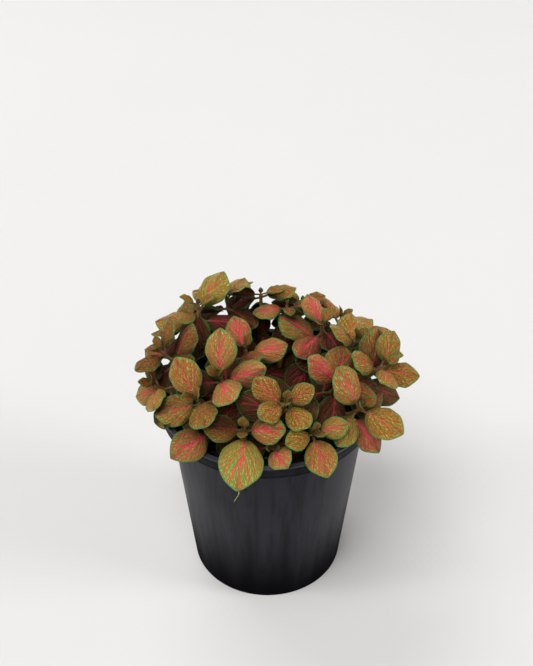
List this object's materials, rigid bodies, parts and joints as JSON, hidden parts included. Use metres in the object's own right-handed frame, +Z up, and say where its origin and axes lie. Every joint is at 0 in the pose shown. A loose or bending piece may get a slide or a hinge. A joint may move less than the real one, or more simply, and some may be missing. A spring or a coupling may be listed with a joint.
{
  "type": "potted nerve plant",
  "caption": "Low bushy house plant with round net-veined leaves in opposite pairs, growing in potting mix in a plain round tapered nursery pot.",
  "frame": {"origin": "centre of the pot's flat underside, on the surface that it stands on", "axes": "+Z up along the pot's axis, -Y towards the side that the picture shows, +X to the right seen from there"},
  "size_m": [0.1676, 0.1581, 0.1831],
  "materials": {
    "pot_plastic": "satin black injection-moulded plastic with faint vertical flow marks",
    "potting_mix": "dark, moist, crumbly peat and fine bark with a few white perlite grains",
    "foliage": "soft satin leaves, olive green with a dense orange-red vein net, a pink midrib and a bright green edge"
  },
  "bodies": {
    "root": {"pot": "pot_plastic", "potting_mix": "potting_mix", "leafy_stem_01": "foliage", "leafy_stem_02": "foliage", "leafy_stem_03": "foliage", "leafy_stem_04": "foliage", "leafy_stem_05": "foliage", "leafy_stem_06": "foliage", "leafy_stem_07": "foliage", "leafy_stem_08": "foliage", "leafy_stem_09": "foliage", "leafy_stem_10": "foliage", "leafy_stem_11": "foliage", "leafy_stem_12": "foliage", "leafy_stem_13": "foliage", "leafy_stem_14": "foliage", "leafy_stem_15": "foliage", "leafy_stem_16": "foliage", "leafy_stem_17": "foliage", "leafy_stem_18": "foliage", "leafy_stem_19": "foliage", "leafy_stem_20": "foliage", "leafy_stem_21": "foliage", "leafy_stem_22": "foliage", "leafy_stem_23": "foliage"}
  },
  "joints": []
}
